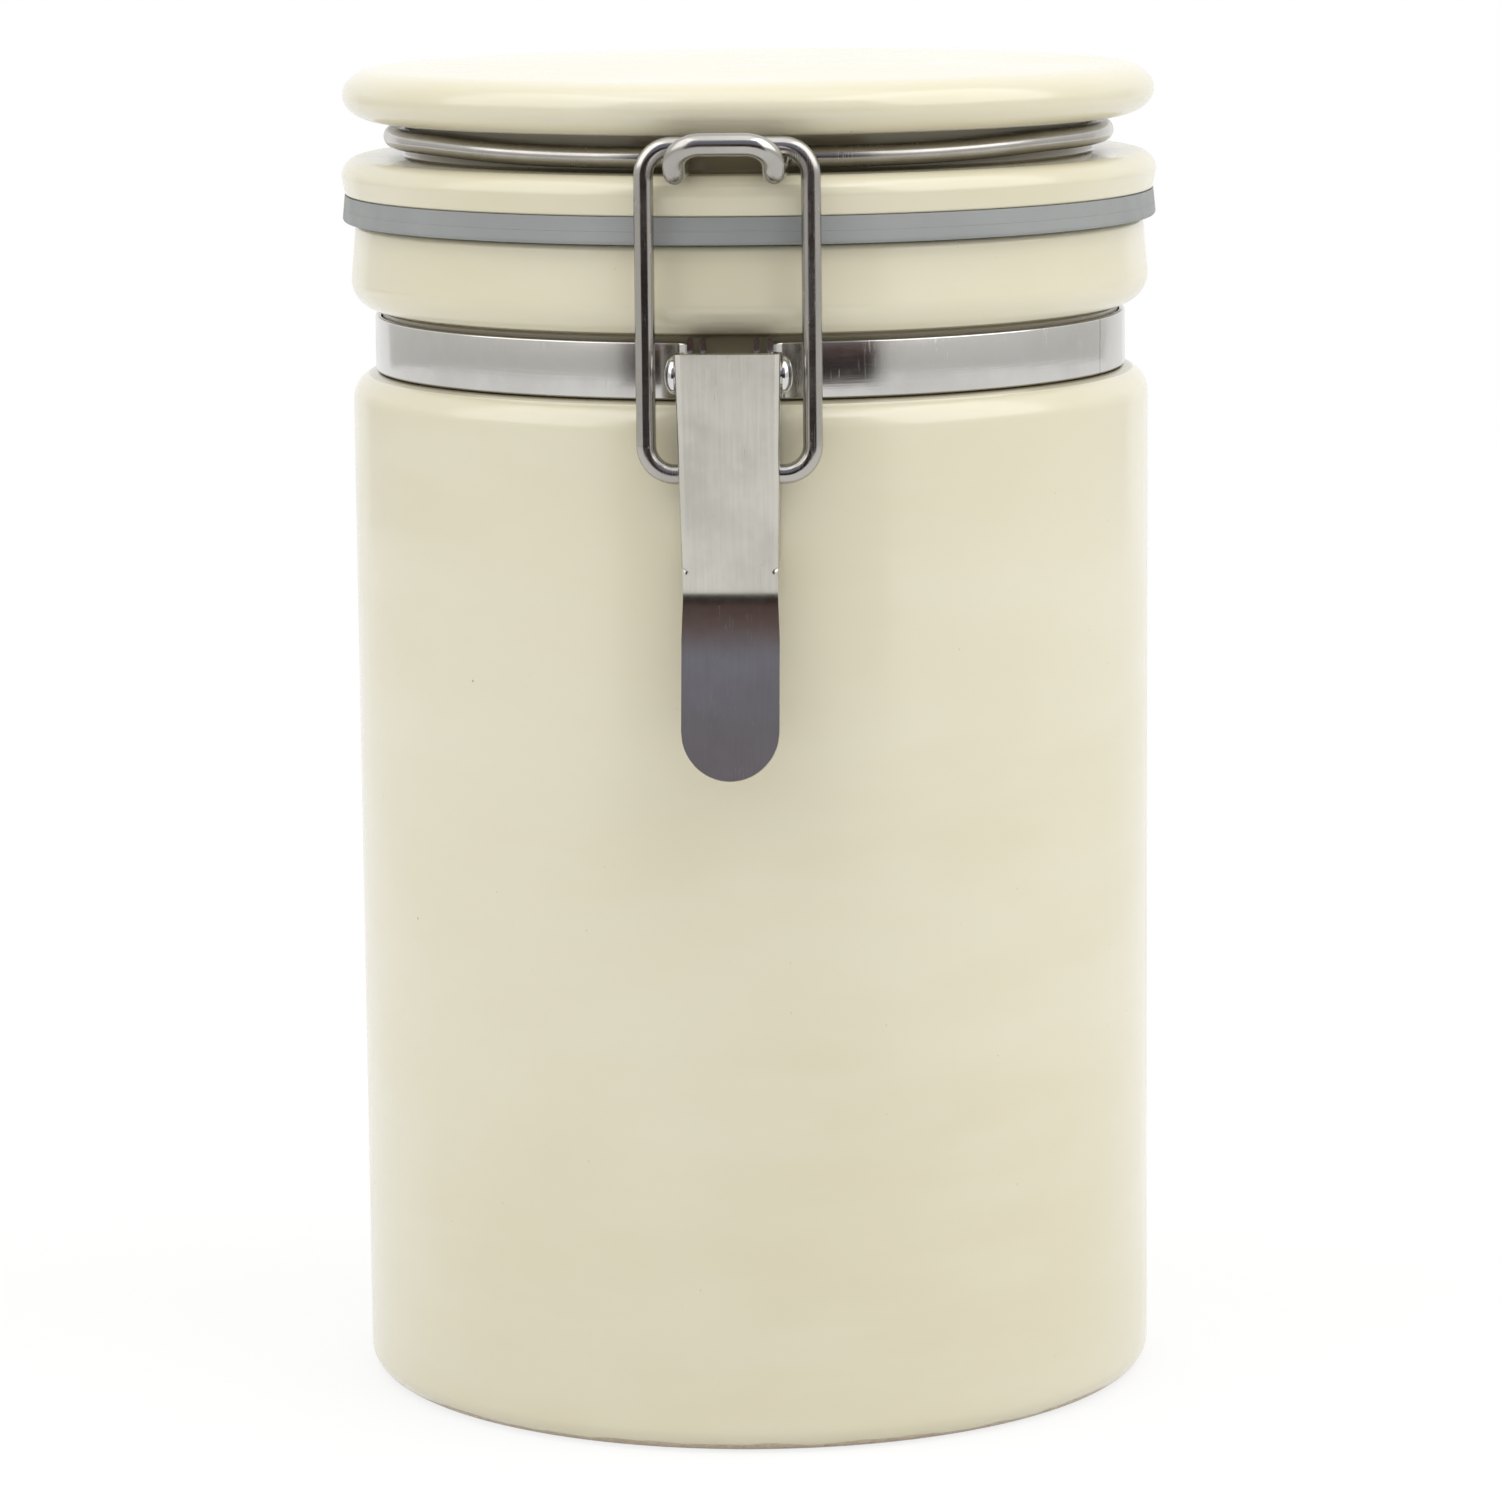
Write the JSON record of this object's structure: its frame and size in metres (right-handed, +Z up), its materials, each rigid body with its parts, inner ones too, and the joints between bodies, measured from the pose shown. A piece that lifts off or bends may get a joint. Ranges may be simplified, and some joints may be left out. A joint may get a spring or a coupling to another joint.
{
  "type": "food canister",
  "caption": "Round glazed stoneware storage jar with a hinged lid, flared seal, wire bail and lever latch on a neck band.",
  "frame": {"origin": "centre of the foot, in the plane that the canister stands on", "axes": "+Z up along the jar's axis, -Y towards the latch at the front, +X to the right seen from the front"},
  "size_m": [0.108, 0.1276, 0.1756],
  "materials": {
    "glaze": "glossy cream glaze",
    "silicone": "matt blue-grey silicone",
    "wire": "bright drawn stainless wire",
    "band_steel": "bright rolled stainless strip",
    "lever_steel": "tumbled stainless sheet, lightly stained",
    "pin_steel": "polished"
  },
  "bodies": {
    "jar": {"jar": "glaze", "neck_band": "band_steel", "hinge_bracket": "band_steel", "bracket_rivets": "pin_steel", "pivot_pin": "pin_steel"},
    "lid": {"lid": "glaze", "seal": "silicone", "lid_ring": "wire"},
    "lever": {"lever": "lever_steel"},
    "bail": {"bail": "wire"}
  },
  "joints": [
    {"name": "lid_hinge", "type": "hinge", "parent": "jar", "child": "lid", "pos_m": [0, 0.058, 0.1555], "axis": [-1, 0, 0], "range_deg": [0, 105]},
    {"name": "lever_pivot", "type": "hinge", "parent": "jar", "child": "lever", "pos_m": [0, -0.0558, 0.1392], "axis": [-1, 0, 0], "range_deg": [0, 95]},
    {"name": "bail_pivot", "type": "hinge", "parent": "lever", "child": "bail", "pos_m": [0, -0.0555, 0.1268], "axis": [-1, 0, 0], "range_deg": [-95, 0]}
  ],
  "couplings": [
    {"joint": "bail_pivot", "follows": "lever_pivot", "ratio": -1}
  ]
}
